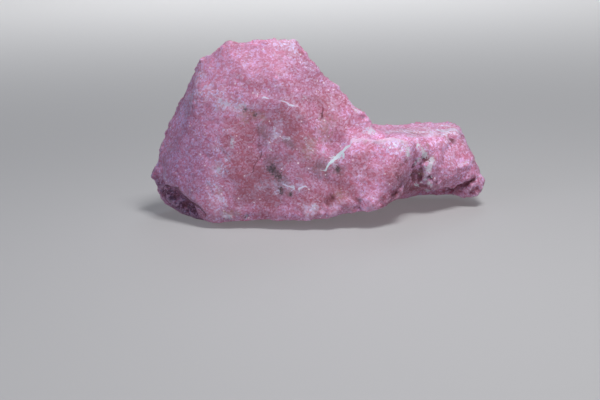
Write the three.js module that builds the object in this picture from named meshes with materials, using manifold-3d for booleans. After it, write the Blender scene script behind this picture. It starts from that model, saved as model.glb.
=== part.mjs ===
// A rough stone of massive pink thulite, in millimetres, +Z up, resting on a flat base at z = 0.
// The stone is one solid. Its form is built from a few convex fracture blocks that run into each
// other: a tall wedge-shaped main block, a low shoulder on the right and an arm beyond it.
// Corner points are x to the right, y to the back and z up, seen from the front of the stone.

import * as THREE from 'three';
import { ConvexHull } from 'three/addons/math/ConvexHull.js';
import { ImprovedNoise } from 'three/addons/math/ImprovedNoise.js';
import { MarchingCubes } from 'three/addons/objects/MarchingCubes.js';
import { mergeVertices } from 'three/addons/utils/BufferGeometryUtils.js';
import Module from 'manifold-3d';

const STONE_COLOUR = 0xb9808f;
const STONE_ROUGHNESS = 0.85;

// The cube of space that is sampled: its centre, half its side, the samples along a side and its turn.
// The turn keeps the samples out of line with the broad faces.
const SAMPLE_CENTRE = new THREE.Vector3(4.5, 11, 20);
const SAMPLE_HALF = 60;
const SAMPLES = 78;
const SAMPLE_TURN = new THREE.Euler(0.5, 0.35, 0.6);
const MAX_TRIANGLES = 16000;
const LEAST_OFFSET = 0.03;

// How softly the blocks run into each other.
const JOIN_RADIUS = 1.6;

// Broken edges are worn a little: each pass draws the corners in, then lets the whole form out again.
const WEAR_PASSES = 3;
const WEAR_STEPS = [0.5, -0.52];

// Natural roughness of a broken face: wavelength and height of each layer.
const ROUGHNESS_LAYERS = [
  { wavelength: 13, height: 0.5 },
  { wavelength: 6.5, height: 0.4 },
  { wavelength: 3.6, height: 0.25 },
];
// The roughness fades out over this height above the flat base.
const BASE_FADE = 2.5;

// Height at which the base is planed flat, and the depth that is taken off below it.
const BASE_LEVEL = 0;
const BELOW_BASE = 20;

const MAIN_BLOCK = [
  // top ridge
  [-22.7, 9.5, 38.9], [-16.8, 6.2, 42.2], [-8.2, 5.4, 43.1], [0.0, 6.4, 42.8], [0.9, 6.2, 40.4],
  // brow, where the front face starts to lean back
  [-21.2, 5.4, 36.0], [-11.0, 0.2, 34.5], [-4.0, 0.0, 34.5], [3.0, 3.0, 33.5],
  // front face
  [-23.4, 4.6, 31.5], [-24.8, 4.2, 27.0], [-27.2, 4.4, 20.0], [-29.4, 4.6, 13.0],
  [8.0, 1.8, 25.5], [2.6, -1.3, 20.2], [-17.2, -0.3, 13.3],
  // lower edge of the front face, a little above the ground and rising on the left
  [-33.6, 9.0, 8.6], [-29.2, 4.0, 7.6], [-24.6, -0.2, 4.9], [-20.4, -3.4, 1.6],
  [-11.0, -3.4, 2.0], [-4.7, -5.4, 2.9], [2.2, -6.6, 2.9], [8.0, -5.8, 3.6],
  // right slope
  [4.7, 5.4, 34.7], [10.3, 3.7, 27.9], [13.0, 2.2, 24.8], [18.4, 3.5, 23.0],
  // left edge
  [-24.8, 12.3, 32.5], [-26.8, 12.8, 28.0], [-30.4, 13.2, 23.0], [-32.3, 13.7, 17.6],
  [-33.8, 13.6, 12.4], [-35.3, 12.4, 7.6], [-34.0, 13.2, 2.8], [-29.8, 13.0, 0.8],
  // base
  [-27.8, 10.6, -0.4], [-24.6, 7.4, -0.4], [-21.0, 5.6, -0.4], [-8.0, 7.4, -0.4],
  [4.0, 7.4, -0.4], [13.0, 14.0, -0.4], [15.0, 23.0, -0.4], [4.0, 26.5, -0.4], [-14.0, 26.5, -0.4],
  [-25.0, 22.0, -0.4], [-28.6, 14.0, -0.4],
  // back
  [-18.0, 14.0, 36.0], [-9.0, 12.0, 39.2], [-3.0, 11.0, 38.4], [-22.0, 20.0, 26.0],
  [-10.0, 21.5, 29.0], [0.0, 18.0, 27.0], [-30.0, 20.0, 13.0], [-13.0, 29.0, 9.0],
  [6.0, 28.0, 11.0], [10.0, 17.0, 17.0],
];

const SHOULDER = [
  // front
  [4.0, -3.4, 13.0], [11.0, -2.2, 18.2], [5.0, -5.9, 3.4], [11.0, -5.5, 4.0], [16.5, -6.1, 5.0],
  [20.0, -4.9, 5.8], [22.0, -4.6, 6.4], [22.0, -4.5, 13.5], [16.3, -3.5, 18.2], [21.8, -2.6, 18.0],
  // upper edge
  [11.0, 1.0, 21.0], [18.5, -0.8, 20.9], [22.0, -1.8, 20.6], [25.4, -0.2, 20.0], [29.2, 5.4, 18.5],
  // right flank above the hollow
  [24.0, -1.8, 6.8], [25.2, -1.0, 12.0], [26.2, -0.6, 17.0], [27.0, 4.5, 7.0],
  // back and underside
  [24.0, 20.0, 19.0], [12.0, 20.0, 19.0], [24.0, 18.0, 3.5], [12.0, 16.0, 0.0], [4.0, 10.0, 0.0],
];

const ARM = [
  // upper front edge
  [28.5, 5.6, 18.4], [36.2, 12.0, 17.5], [38.8, 15.4, 17.0], [29.0, 4.0, 15.6], [35.6, 9.4, 14.8],
  // front
  [28.6, 3.2, 11.5], [33.3, 6.4, 10.7], [37.2, 9.3, 9.9], [41.1, 11.8, 9.2],
  [28.4, 3.2, 9.0], [32.0, 5.0, 8.4], [37.2, 8.9, 7.4], [41.0, 11.0, 5.8],
  // lower lip
  [31.5, 6.8, 5.3], [36.5, 8.6, 5.9],
  // end
  [40.7, 15.5, 12.8], [42.6, 13.0, 9.8], [44.5, 13.0, 5.4], [42.3, 12.0, 2.9], [39.6, 12.2, 2.6],
  [43.8, 22.0, 8.0], [41.0, 24.0, 3.0],
  // back edge of the upper face
  [38.9, 25.6, 18.2], [28.0, 24.0, 18.4], [18.0, 21.0, 19.0],
  // back and underside
  [30.0, 28.0, 8.0], [12.0, 27.0, 9.0], [28.0, 25.0, 2.5], [12.0, 22.0, 0.0], [16.0, 10.0, 3.0],
  [16.0, 8.0, 19.8], [0.0, 20.0, 16.0], [0.0, 26.0, 10.0],
];

// Hollow under the arm, open to the front and to the ground.
const ARM_UNDERCUT = [
  [21.0, -14.0, 5.6], [27.5, -8.0, 8.6], [33.0, 2.0, 6.8], [41.5, 6.0, 5.4], [41.5, 11.2, 4.6],
  [31.0, 14.0, 4.8], [26.0, 11.0, 4.0], [21.0, 4.0, 1.4],
  [21.0, -14.0, -6.0], [42.0, 6.0, -6.0], [40.0, 13.0, -6.0], [27.0, 14.0, -6.0], [21.0, 4.0, -6.0],
];

// Round lumps that stand up from the surface and hollows that sink into it.
const LUMPS = [
  // knob on the left edge and corner of the top ridge
  { at: [-35.0, 12.2, 9.8], radius: 2.8, height: 1.3 },
  { at: [-16.8, 6.0, 42.2], radius: 2.6, height: 0.6 },
  { at: [-20.2, 8.0, 40.6], radius: 4.0, height: -0.4 },
  // lower edge of the shoulder
  { at: [16.5, -5.6, 5.5], radius: 4.0, height: 0.5 },
  // lobe and lower tip of the arm's end, and the notch beside them
  { at: [40.4, 14.5, 12.0], radius: 5.0, height: 0.7 },
  { at: [43.6, 13.0, 5.5], radius: 4.0, height: 0.8 },
  { at: [36.8, 13.0, 17.0], radius: 3.0, height: -0.9 },
  { at: [40.8, 17.0, 14.8], radius: 3.4, height: -0.6 },
  // overhang under the arm's end
  { at: [39.0, 9.6, 6.2], radius: 3.2, height: -1.5 },
  { at: [35.8, 8.8, 5.4], radius: 2.8, height: -0.9 },
  // valley between the shoulder and the arm
  { at: [28.4, 3.6, 13.0], radius: 4.2, height: -1.2 },
  { at: [27.6, 2.6, 9.4], radius: 4.2, height: -1.6 },
  // step where the shoulder meets the front face
  { at: [8.2, -1.4, 18.5], radius: 4.5, height: -0.8 },
  // right slope, a little hollow
  { at: [6.5, 4.8, 33.0], radius: 9.0, height: -0.3 },
  { at: [11.6, 3.6, 27.4], radius: 5.5, height: -0.6 },
  // shallow oval hollow in the front face
  { at: [-6.0, -1.0, 20.0], radius: 12.0, height: -0.6 },
  // broken corner at the lower left
  { at: [-26.0, 3.6, 4.0], radius: 4.0, height: -0.8 },
];

const noise = new ImprovedNoise();

function fractureBlock(corners) {
  const points = corners.map(([x, y, z]) => new THREE.Vector3(x, y, z));
  const faces = new ConvexHull().setFromPoints(points).faces;
  return (point) => Math.max(...faces.map((face) => face.distanceToPoint(point)));
}

function softMin(a, b, radius) {
  const overlap = Math.max(radius - Math.abs(a - b), 0) / radius;
  return Math.min(a, b) - overlap * overlap * radius * 0.25;
}

function roughnessAt(point) {
  let height = 0;
  ROUGHNESS_LAYERS.forEach((layer, index) => {
    const offset = 17.3 * index;
    height += layer.height * noise.noise(
      point.x / layer.wavelength + offset,
      point.y / layer.wavelength + offset,
      point.z / layer.wavelength + offset,
    );
  });
  return height;
}

function lumpsAt(point) {
  let height = 0;
  for (const lump of LUMPS) {
    const reach = point.distanceTo(new THREE.Vector3(...lump.at)) / lump.radius;
    if (reach < 1) {
      const fade = 1 - reach * reach;
      height += lump.height * fade * fade;
    }
  }
  return height;
}

const mainBlock = fractureBlock(MAIN_BLOCK);
const shoulder = fractureBlock(SHOULDER);
const arm = fractureBlock(ARM);
const armUndercut = fractureBlock(ARM_UNDERCUT);

// Distance from the joined blocks, negative inside.
function blockDistance(point) {
  const rightSide = softMin(shoulder(point), arm(point), JOIN_RADIUS);
  const joined = softMin(mainBlock(point), rightSide, JOIN_RADIUS);
  return Math.max(joined, -armUndercut(point));
}

// Height of the natural relief above the blocks.
function reliefAt(point) {
  const fade = THREE.MathUtils.smoothstep(point.z, BASE_LEVEL, BASE_LEVEL + BASE_FADE);
  return fade * roughnessAt(point) + lumpsAt(point);
}

function samplePoints() {
  const turn = new THREE.Quaternion().setFromEuler(SAMPLE_TURN);
  const size = new THREE.Vector3(SAMPLE_HALF, SAMPLE_HALF, SAMPLE_HALF);
  const placing = new THREE.Matrix4().compose(SAMPLE_CENTRE, turn, size);
  const points = [];
  for (let k = 0; k < SAMPLES; k += 1) {
    for (let j = 0; j < SAMPLES; j += 1) {
      for (let i = 0; i < SAMPLES; i += 1) {
        const unit = new THREE.Vector3(i, j, k).divideScalar(SAMPLES / 2).addScalar(-1);
        points.push(unit.applyMatrix4(placing));
      }
    }
  }
  return { placing, points };
}

function neighboursOf(surface) {
  const corners = surface.getIndex().array;
  const neighbours = Array.from({ length: surface.getAttribute('position').count }, () => new Set());
  for (let first = 0; first < corners.length; first += 3) {
    for (let side = 0; side < 3; side += 1) {
      const here = corners[first + side];
      const next = corners[first + (side + 1) % 3];
      neighbours[here].add(next);
      neighbours[next].add(here);
    }
  }
  return neighbours;
}

function wearEdges(surface) {
  const positions = surface.getAttribute('position');
  const neighbours = neighboursOf(surface);
  const places = neighbours.map((_, index) => new THREE.Vector3().fromBufferAttribute(positions, index));
  for (let pass = 0; pass < WEAR_PASSES; pass += 1) {
    for (const step of WEAR_STEPS) {
      const before = places.map((place) => place.clone());
      places.forEach((place, index) => {
        const mean = new THREE.Vector3();
        neighbours[index].forEach((other) => mean.add(before[other]));
        place.lerp(mean.divideScalar(neighbours[index].size), step);
      });
    }
  }
  places.forEach((place, index) => positions.setXYZ(index, place.x, place.y, place.z));
  return surface;
}

function sampledSurface() {
  const { placing, points } = samplePoints();
  const cubes = new MarchingCubes(SAMPLES, new THREE.MeshStandardMaterial(), false, false, MAX_TRIANGLES);
  cubes.isolation = 0;
  points.forEach((point, index) => {
    const inside = reliefAt(point) - blockDistance(point);
    // The surface is kept a little off the sample points, so that no sliver is made.
    cubes.field[index] = Math.sign(inside || 1) * Math.max(Math.abs(inside), LEAST_OFFSET);
  });
  cubes.update();
  const surface = new THREE.BufferGeometry();
  const corners = cubes.positionArray.slice(0, cubes.count * 3);
  surface.setAttribute('position', new THREE.BufferAttribute(corners, 3));
  surface.applyMatrix4(placing);
  return mergeVertices(surface, 1e-3);
}

const wasm = await Module();
wasm.setup();

function toSolid(geometry) {
  const bare = new THREE.BufferGeometry();
  bare.setAttribute('position', geometry.getAttribute('position'));
  bare.setIndex(geometry.getIndex());
  const merged = mergeVertices(bare, 1e-4);
  return new wasm.Manifold(new wasm.Mesh({
    numProp: 3,
    vertProperties: new Float32Array(merged.getAttribute('position').array),
    triVerts: new Uint32Array(merged.getIndex().array),
  }));
}

function toGeometry(solid) {
  const mesh = solid.getMesh();
  const geometry = new THREE.BufferGeometry();
  geometry.setAttribute('position', new THREE.BufferAttribute(new Float32Array(mesh.vertProperties), 3));
  geometry.setIndex(new THREE.BufferAttribute(new Uint32Array(mesh.triVerts), 1));
  return geometry;
}

// Planes the base flat and puts the middle of the stone's box over the origin.
function planedStone(surface) {
  const below = new THREE.BoxGeometry(4 * SAMPLE_HALF, 4 * SAMPLE_HALF, BELOW_BASE);
  below.translate(0, 0, BASE_LEVEL - BELOW_BASE / 2);
  const geometry = toGeometry(toSolid(surface).subtract(toSolid(below)));
  geometry.computeBoundingBox();
  const box = geometry.boundingBox;
  geometry.translate(-(box.min.x + box.max.x) / 2, -(box.min.y + box.max.y) / 2, -box.min.z);
  geometry.computeVertexNormals();
  return geometry;
}

const material = new THREE.MeshStandardMaterial({
  name: 'thulite_rock',
  color: STONE_COLOUR,
  roughness: STONE_ROUGHNESS,
  metalness: 0,
});

const stone = new THREE.Mesh(planedStone(wearEdges(sampledSurface())), material);
stone.name = 'thulite_stone';

const part = new THREE.Group();
part.name = 'thulite';
part.add(stone);

export default part;
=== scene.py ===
# A rough piece of massive pink thulite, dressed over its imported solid.
# Lengths are in millimetres in the frame of the solid: x to the right, y to the back, z up.
# Pixels are those of the 600 by 400 photograph, seen through the camera below.
import math

import bmesh
import bpy
import numpy as np
from mathutils import Matrix, Vector, noise
from mathutils.bvhtree import BVHTree


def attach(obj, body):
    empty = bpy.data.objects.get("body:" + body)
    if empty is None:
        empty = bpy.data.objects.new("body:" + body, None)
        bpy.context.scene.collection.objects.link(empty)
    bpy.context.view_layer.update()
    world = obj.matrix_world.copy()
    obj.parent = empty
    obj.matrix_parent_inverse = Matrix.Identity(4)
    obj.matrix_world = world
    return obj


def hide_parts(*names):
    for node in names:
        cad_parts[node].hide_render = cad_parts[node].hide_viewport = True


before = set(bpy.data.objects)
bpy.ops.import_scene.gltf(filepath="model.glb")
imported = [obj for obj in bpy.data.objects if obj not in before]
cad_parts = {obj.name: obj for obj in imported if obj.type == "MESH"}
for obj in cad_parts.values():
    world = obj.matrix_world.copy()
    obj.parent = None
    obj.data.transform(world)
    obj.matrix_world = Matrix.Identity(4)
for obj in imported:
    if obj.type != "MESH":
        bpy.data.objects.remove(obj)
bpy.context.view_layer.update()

NODE = "thulite_stone"
BODY = "root"
SLOT = "thulite_rock"
PIECE = "thulite_surface"
METRES = 0.001

# Camera: where it stands, how far it looks down and leans, and its lens.
PHOTO_WIDTH = 600
PHOTO_HEIGHT = 400
CAMERA_PLACE = (-4.6, -350.15, 94.6)
CAMERA_DOWN = math.radians(14.69)
CAMERA_LEAN = math.radians(1.05)
CAMERA_NEAR = 10.0
LENS = 90.0
SENSOR_WIDTH = 36.0
# A point inside the stone, for pixels that just miss it.
STONE_HEART = (0.0, 0.0, 20.0)

# Fine surface: spacing of its points, how near two points of the solid are welded, the passes that soften
# the facets of the solid, and how much its broken edges are then sharpened, over how many passes.
POINT_SPACING = 0.34
WELD = 0.001
SOFTEN_PASSES = 4
SOFTEN_STEPS = (0.5, -0.52)
SHARPEN = 0.45
SHARPEN_PASSES = 70
NORMAL_PASSES = 10
# The relief fades out over this height above the flat base.
BASE_FADE = 1.6

# Seed of the noise, so that every run gives the same stone.
NOISE_SEED = 19
# Where in the noise each kind of layer starts, and the step from layer to layer.
SWELL_SHIFTS = (0.0, 11.7)
FACET_SHIFTS = (0.0, 5.3)
CHIP_SHIFTS = (23.1, 4.7)
CRUMB_SHIFTS = (41.3, 6.1)
HIDDEN_SHIFTS = (67.9, 3.7)
WANDER_STEP = 3.9
# How far apart in the noise two neighbouring facets find their tilts.
TILT_SPREAD = 7.31

# Broken grain of the whole surface: wavelength and height of each layer of swells,
# and the size and slope of the small tilted facets that the rock breaks into.
SWELLS = [(9.0, 0.10), (4.0, 0.06), (2.0, 0.04), (1.0, 0.04)]
FACETS = [(4.0, 0.045), (1.9, 0.06), (0.9, 0.11)]
# Chips along the broken edges: size and slope of their facets, how much they cut away, and how far a point
# has to stand out of its surroundings, evened out over so many passes, to count as an edge.
CHIPS = [(3.4, 0.14), (1.7, 0.36), (0.9, 0.60)]
CHIP_CUT = 0.08
EDGE_PASSES = 55
EDGE_STANDS_OUT = (0.03, 0.32)
# Coarse, crumbly parts: size and slope of their facets, how much longer the facets are upright
# than across, and how far they reach up and down.
CRUMBS = [(3.0, 0.55), (1.6, 1.00), (0.9, 1.50)]
CRUMB_UPRIGHT = 1.6
CRUMB_TALL = 0.4
# Hollows of the solid that are filled up: the passes that even the surface out there, and the zones.
FILL_PASSES = 220
FILL_ZONES = [((413, 150), 3.4), ((415, 161), 2.8)]
# Sides that the photograph does not show: size and slope of their facets, and how far back a face has
# to turn for it to begin and to be full.
HIDDEN_FACETS = [(7.0, 0.16), (3.2, 0.20), (1.6, 0.16)]
HIDDEN_TURN = (0.0, 0.5)
# Passes that even the surface out to tell grains, folds and edges from it.
RELIEF_PASSES = (4, 12, 35)

# Lines and marks wander by this much, at each wavelength, so that none of them is drawn clean.
WANDER = [(3.5, 0.38), (1.1, 0.13)]
# Steps and grooves fade out over this share of their length at each end.
END_SHARE = 0.12
# Thin marks: pixels between the points of a line, how far from it the mark may show, the distance that
# stands for far away, and the share of the distance that is sideways for a point beside the line.
PIXEL_STEP = 1.5
THIN_REACH = 1.25
FAR_AWAY = 4.0
BESIDE = 0.9

# Steps: the stone stands higher on the left hand of one who walks along the line.
# Each has its line in pixels, its height, the width of its face and how far the raised side runs on.
STEPS = [
    # slab at the lower left that stands proud of the broken corner
    ([(163, 184), (168, 185.5), (174, 187), (179, 190.5), (184, 194.5), (189, 199.5), (195, 204),
      (201, 208.5), (206, 214), (212, 222)], 1.3, 0.35, 4.5),
    # upper and right rim of the shallow oval in the front face
    ([(318, 141), (316, 128), (309, 116), (298, 107), (286, 102), (264, 97), (246, 96)], 0.18, 0.30, 4.0),
    # fine step down the middle of the oval
    ([(258, 128), (258.5, 139), (258, 148), (260.5, 156), (256, 164), (253, 173)], 0.20, 0.2, 2.5),
    # fold where the shoulder comes forward from the front face
    ([(322, 176), (330, 163), (343, 151), (350, 145)], -0.5, 0.4, 3.0),
    # upper edge of the shoulder
    ([(352, 146), (362, 142), (372, 140.5), (382, 139.5), (392, 138.8), (400, 140), (406, 143)],
     -0.6, 0.30, 2.5),
    # ledge under the arm's end
    ([(443, 191), (448, 189.5), (455, 188), (463, 185), (470, 181), (479, 176.5)], 0.3, 0.35, 3.5),
    # lower rim of the shoulder
    ([(318, 214), (330, 205), (345, 199), (356, 199)], -0.4, 0.5, 3.0),
    # lobe of the main block above the shoulder
    ([(386, 138.5), (384.5, 133), (379, 129), (375, 127)], 0.5, 0.3, 2.0),
]

# Grooves: the line in pixels, the depth and half the width.
GROOVES = [
    # gaps between the slab and the broken corner
    ([(177, 189), (184, 195.5), (190, 200.5), (197, 206)], 0.9, 0.5),
    ([(164, 184.2), (170, 185.6)], 0.5, 0.4),
    ([(174.5, 187.2), (178.5, 187.8)], 0.5, 0.4),
    ([(180, 207.5), (187, 206), (195, 206)], 0.4, 0.4),
    # cracks in the front face
    ([(323, 107), (322.5, 113), (323, 120)], 0.25, 0.3),
    ([(258, 147), (260.5, 156), (256, 164), (253.5, 172)], 0.18, 0.25),
    # hollow between the shoulder and the arm, with its folds
    ([(411, 166), (412, 173), (414, 181), (419, 190)], 0.35, 1.4),
    ([(412, 166), (413, 175), (415, 183)], 0.2, 0.5),
    ([(419, 168), (420, 176), (421, 183)], 0.15, 0.5),
    ([(416, 162), (418, 170), (418.5, 178)], 0.15, 0.5),
    ([(423, 166), (424, 175), (424, 183)], 0.15, 0.5),
    # pale crest along the shoulder's upper edge, which stands up, and the dip behind it
    ([(353.7, 140.8), (361.7, 139), (368.9, 140.2), (374.7, 141), (380.4, 140.6), (386.2, 139.1),
      (392, 138.4), (397.8, 139.1), (405, 141.3)], -0.35, 0.40),
    ([(364, 135.5), (372, 136.8), (380, 137), (386, 135.5), (392, 134.8), (400, 136)], 0.35, 0.5),
    # notch in the arm's upper front edge and the hollow below it
    ([(455, 138), (452.5, 141.5), (450, 145)], 0.35, 1.1),
    ([(450, 145), (446, 152), (444, 160), (444, 168)], 0.5, 1.2),
    # recess under the upper band of the arm's front, and the ridge above its ledge, which stands up
    ([(425, 152.5), (432, 152), (439, 151), (446, 149)], 0.25, 1.0),
    ([(452, 170), (460, 167), (468, 164.5), (477, 163)], -0.3, 0.5),
    # overhang under the arm's end
    ([(446, 191), (452, 190.6), (457, 188), (463, 186.8), (467, 183), (472, 181.6), (478, 176.5)], 1.0, 0.6),
    # notches above and below the knob
    ([(155, 166), (159, 165), (163, 167)], 0.3, 0.6),
    ([(153, 182), (157, 181.5), (161, 183)], 0.3, 0.6),
    # undercut and creases of the shoulder's lower edge
    ([(326, 206), (330, 202), (335, 197)], 0.5, 0.8),
    ([(361, 199), (360, 205), (358, 210)], 0.4, 0.6),
    ([(381, 197), (383, 202), (384, 206)], 0.3, 0.7),
]

# Lumps that stand up and pits that sink in: the pixel, the radius and the height.
LUMPS = [
    # knob on the left edge
    ((153.5, 173.5), 1.0, 0.15),
    # bead and flake at the notch above the shoulder
    ((370, 130.5), 0.9, 0.45), ((379, 133), 1.5, 0.4),
    # crystals in the valley beside the arm
    ((423.5, 153), 0.9, 0.2), ((429, 164.5), 1.0, 0.25), ((427.5, 177), 0.8, 0.2),
    ((431, 184.5), 0.7, 0.25), ((415, 184.5), 0.6, 0.2), ((417, 160), 0.8, 0.2), ((424, 168), 0.7, 0.2),
    # pits
    ((275, 172), 1.2, -0.2), ((280.5, 191), 0.5, -0.25), ((337.5, 168), 0.9, -0.4),
    ((207.5, 156), 0.6, -0.25), ((247, 216), 0.7, -0.3), ((244.5, 110), 0.5, -0.2),
    ((364, 118), 0.8, -0.3), ((301, 203), 0.9, -0.2),
    # lobes of the arm and of the shoulder's lower edge
    ((466, 157), 2.6, 0.8), ((456, 171), 1.8, 0.3), ((463, 140.5), 1.6, -1.0), ((436, 166), 2.0, 0.3),
    ((371, 203), 2.2, 0.5), ((350, 207), 2.0, 0.4), ((335, 211), 1.4, 0.3),
    # flank of the shoulder, cut back below its upper edge
    ((404, 184), 2.6, -0.6), ((397, 197), 2.6, -0.9), ((408, 190), 2.4, -1.1),
    # saddle between the shoulder and the arm, cut back at its lower end
    ((417, 152), 1.8, 1.2), ((416, 163), 1.8, 0.8), ((417, 190), 2.4, -1.1),
    # broken corner at the lower left: hollows and lumps
    ((176, 208), 1.1, -0.5), ((170, 198), 1.5, 0.3), ((188, 211), 1.4, 0.3), ((166, 204), 2.2, -0.8),
    ((178, 212), 2.2, -1.0), ((193, 218), 2.0, -0.8),
    # underside of the arm and corner at the upper left, a little cut back
    ((420, 195), 2.2, -0.9), ((432, 194), 2.4, -0.9), ((446, 193), 2.2, -0.8),
    ((205, 54), 2.5, -0.45), ((214, 49), 2.5, -0.35),
]

# Thin marks by name: the line in pixels and its half width at each of its points.
THIN_MARKS = {
    "pale_streak": [
        ([(349.4, 145.6), (346.9, 146.4), (344.6, 148.6), (343.2, 151.2), (340.6, 153.8), (336.3, 157.5),
          (331.9, 161.3), (328.3, 165), (325.4, 171)],
         [0.30, 0.40, 0.58, 0.78, 0.84, 0.72, 0.50, 0.28, 0.14]),
        ([(342.6, 152), (343.8, 155), (343.6, 158.5)], [0.40, 0.32, 0.12]),
    ],
    "pale_scratch": [
        ([(262.5, 98.6), (265, 97.6), (268.5, 98.6)], [0.10, 0.24, 0.10]),
        ([(269, 98.8), (279, 99.4)], [0.05, 0.06]),
        ([(279, 99.8), (284, 101.2), (287.5, 103), (289, 105), (293, 106), (299, 108)],
         [0.08, 0.15, 0.18, 0.24, 0.13, 0.07]),
        ([(283, 184.8), (286, 185.8), (288, 186.4)], [0.12, 0.22, 0.12]),
        ([(288, 186.4), (290, 186.4), (292.5, 187.6), (294.6, 187)], [0.12, 0.22, 0.34, 0.16]),
        ([(294.5, 185.4), (295, 189.5)], [0.15, 0.16]),
        ([(299.3, 188), (302, 186.4), (305.4, 184.8)], [0.24, 0.18, 0.16]),
    ],
    "crack": [
        ([(178, 189.5), (184, 195), (189, 199.6), (195, 204.2), (201, 209), (206, 215)],
         [0.10, 0.34, 0.50, 0.40, 0.30, 0.10]),
        ([(164, 184.2), (170, 185.6)], [0.22, 0.34]),
        ([(174.5, 187.2), (178.5, 187.8)], [0.36, 0.22]),
        ([(181, 207), (187, 205.6), (194, 206)], [0.14, 0.26, 0.10]),
        ([(323, 107.5), (322.4, 113), (323, 119.5)], [0.10, 0.20, 0.12]),
        ([(257.5, 121), (258, 128), (258.5, 139), (258.3, 147)], [0.05, 0.08, 0.07, 0.10]),
        ([(259, 145.6), (262, 146), (261, 151), (260.5, 157), (256.5, 162.5), (254.5, 168), (253.5, 172.5)],
         [0.11, 0.08, 0.10, 0.14, 0.12, 0.12, 0.14]),
        ([(303, 112), (309, 116.5), (314.5, 124.5), (314.6, 131)], [0.03, 0.06, 0.10, 0.08]),
    ],
}

# Soft marks by name: the line or spot in pixels and its half width.
SOFT_MARKS = {
    "pale_bit": [
        ([(233, 140), (232.6, 147)], 0.38), ([(269, 149), (272, 150.5)], 0.34),
        ([(369, 130.8), (371.4, 130)], 1.0), ([(273, 128), (274, 130)], 0.28), ([(279.5, 130.5)], 0.26),
        ([(274, 135), (277, 137)], 0.32), ([(283, 139), (290, 139.5)], 0.32), ([(306.5, 139)], 0.34),
        ([(357.5, 111)], 0.55), ([(331, 160), (334, 158)], 0.38), ([(332, 162), (336, 164.5)], 0.45),
        ([(440, 131), (448, 130), (456, 129)], 0.7), ([(408, 136), (416, 136.4)], 0.45),
        ([(314.5, 207)], 0.6), ([(220, 102), (222, 104)], 0.5), ([(225, 105.5), (228, 104)], 0.5),
        ([(236, 108), (239, 106.5)], 0.5), ([(242, 105)], 0.5), ([(220, 199.5)], 0.45),
        ([(323, 152)], 0.4), ([(226, 216), (230, 218)], 0.6), ([(246, 217)], 0.5), ([(219, 171)], 0.45),
        ([(216, 187)], 0.4), ([(304, 97.5)], 0.4), ([(385, 132), (389, 133)], 0.5),
    ],
    # painted highlight along crests that catch the light: the shoulder's upper edge, the arm's ledge and the
    # front's rim
    "crest_highlight": [
        ([(353.7, 140.8), (361.7, 139), (368.9, 140.2), (374.7, 141), (380.4, 140.6), (386.2, 139.1)], 0.55),
        ([(388, 138.8), (392, 138.4), (397.8, 139.1), (405, 141.3)], 0.70),
        ([(405.5, 145), (407, 149), (406.5, 153)], 0.30),
        ([(459, 165), (466, 162), (474, 160)], 0.25), ([(350, 104), (357, 111)], 0.28),
    ],
    "dark_spot": [
        ([(272.5, 168.5), (274, 172)], 1.0), ([(277, 175), (278.5, 177)], 0.85),
        ([(280.3, 189), (280.6, 192.5)], 0.42), ([(290, 194.5)], 0.45), ([(338.5, 169)], 0.6),
        ([(244.5, 109.8)], 0.5), ([(254.8, 115.7)], 0.4), ([(247, 216.5)], 0.40),
    ],
    # darker, greyer patches round the pits and dark spots
    "grey_patch": [
        ([(271, 162), (274, 169), (278, 177), (281, 181)], 1.7), ([(336, 167), (340, 170)], 1.3),
        ([(280.4, 190.5)], 0.8), ([(290, 194.5)], 0.8), ([(262, 130), (265, 138)], 1.2),
        ([(324, 164), (319, 171)], 1.7), ([(287, 142), (292, 145)], 1.0),
    ],
    "olive_stain": [
        ([(244, 111), (244, 119)], 1.1), ([(254, 115.5), (262, 118.5)], 1.1),
        ([(326, 123), (324.5, 136)], 1.9), ([(340, 195.5)], 1.3), ([(365.5, 141.5)], 0.6),
        ([(218.5, 190.5)], 0.9), ([(427.5, 146.5)], 0.8), ([(432, 157)], 0.8),
        ([(225, 214), (236, 213)], 0.9), ([(313, 142), (308, 153)], 1.6), ([(218.5, 168)], 0.6),
        ([(421, 173)], 0.8),
    ],
    "cream_crystal": [
        ([(422.5, 151.5), (424.5, 155)], 0.75), ([(431, 160.5), (430.5, 165), (427.5, 169.5)], 0.75),
        ([(427, 175), (426, 178)], 0.4), ([(425, 179.5)], 0.3), ([(429.5, 183.5), (432, 186.5)], 0.42),
        ([(415, 183), (417.5, 185.5)], 0.4), ([(418.5, 145)], 0.7), ([(419, 159), (418.5, 161)], 0.4),
        ([(415.5, 163)], 0.5), ([(421.5, 181)], 0.35), ([(426.5, 189.5)], 0.5),
        ([(369, 131.6), (371.4, 129.6)], 0.75), ([(410.4, 172), (410.8, 177)], 0.25),
        ([(431.5, 177)], 0.3), ([(408, 150), (408, 156)], 0.5),
    ],
    # painted shade in the hollows: the valley, under the arm and its ledge, under the shoulder and beside
    # the lobe
    "hollow_shade": [
        ([(412.5, 170), (413.5, 176), (415, 184)], 0.7), ([(422.5, 172), (422, 178)], 0.5),
        ([(407, 160), (402, 165), (399, 169)], 0.5), ([(414, 182), (421, 187), (424, 186)], 0.8),
        ([(404, 189), (412, 190), (420, 190)], 1.2), ([(386, 204), (395, 198), (403, 191), (408, 186)], 1.3),
        ([(432, 188), (438, 186)], 0.6), ([(335, 170), (338, 171)], 0.7),
        ([(443, 191.5), (455, 190), (464, 186.5), (474, 180)], 0.6), ([(450, 143), (453, 140)], 0.45),
        ([(329, 203), (333, 198)], 0.8), ([(359, 199), (358, 206)], 0.45), ([(472, 191), (478, 188)], 0.5),
        ([(397, 174), (399, 180)], 0.4),
    ],
}

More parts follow.
